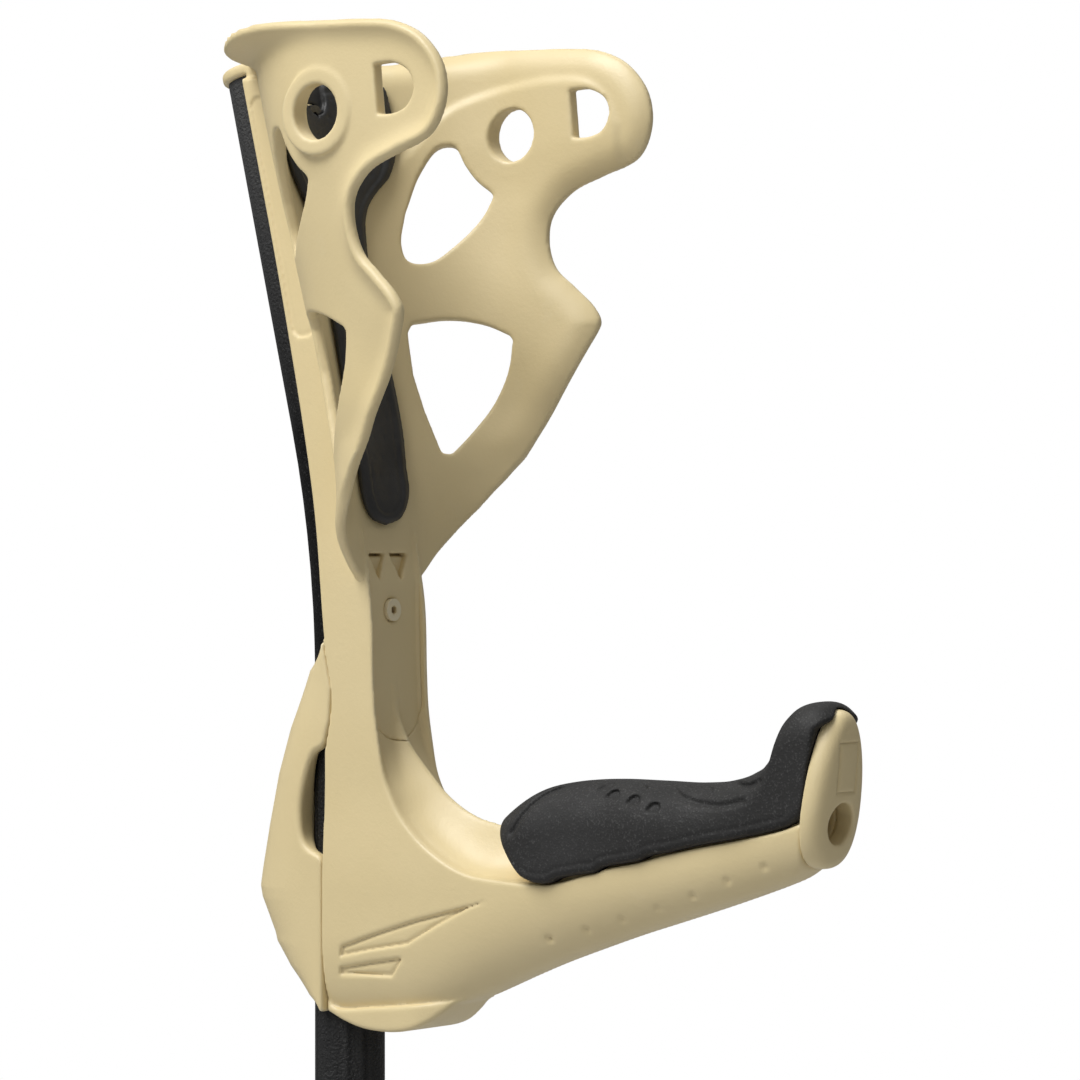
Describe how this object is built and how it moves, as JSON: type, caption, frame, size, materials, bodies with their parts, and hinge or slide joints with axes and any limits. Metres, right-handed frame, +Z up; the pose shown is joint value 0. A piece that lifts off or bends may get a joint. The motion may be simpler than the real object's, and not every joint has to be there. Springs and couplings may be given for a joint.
{
  "type": "forearm crutch",
  "caption": "Forearm crutch with an open moulded cuff, padded handle, bent upper tube and a telescopic leg set by a snap button.",
  "frame": {"origin": "middle of the ferrule's sole, on the lower tubes' axis", "axes": "+Z up along the leg, +X the way the handle points, symmetric about Y = 0"},
  "size_m": [0.2372, 0.1084, 1.0522],
  "materials": {
    "sand_plastic": "satin",
    "sand_plastic_cuff": "satin",
    "tube_coat": "textured powder coat",
    "grip_rubber": "matte",
    "pad_rubber": "matte",
    "screw_steel": "bright",
    "nut_brass": "plain",
    "black_plastic": "matte",
    "leg_alloy": "satin anodised",
    "ferrule_rubber": "matte",
    "button_steel": "bright"
  },
  "bodies": {
    "frame": {"upper_tube": "tube_coat", "handle_bracket": "sand_plastic", "forearm_cuff": "sand_plastic_cuff", "rear_cover": "sand_plastic", "grip_pad": "grip_rubber", "forearm_pad": "pad_rubber", "handle_end_cap": "sand_plastic", "cuff_lower_screw": "screw_steel", "cuff_upper_screw": "screw_steel", "cuff_upper_washer": "screw_steel", "cover_screw": "screw_steel", "end_cap_screw": "screw_steel", "rivet_nuts": "nut_brass", "tube_top_plug": "black_plastic", "guide_bush": "black_plastic"},
    "leg": {"leg_tube": "leg_alloy", "leg_top_plug": "black_plastic", "button_spring": "button_steel", "ferrule": "ferrule_rubber", "ferrule_washer": "screw_steel"},
    "button": {"snap_button": "button_steel"}
  },
  "joints": [
    {"name": "leg_slide", "type": "slide", "parent": "frame", "child": "leg", "axis": [0, 0, 1], "range_m": [-0.1, 0.05]},
    {"name": "button_press", "type": "slide", "parent": "leg", "child": "button", "axis": [1, 0, 0], "range_m": [0, 0.0036], "stiffness_N_per_m": 400, "springref_m": -0.004, "deforming": ["button_spring"]}
  ]
}
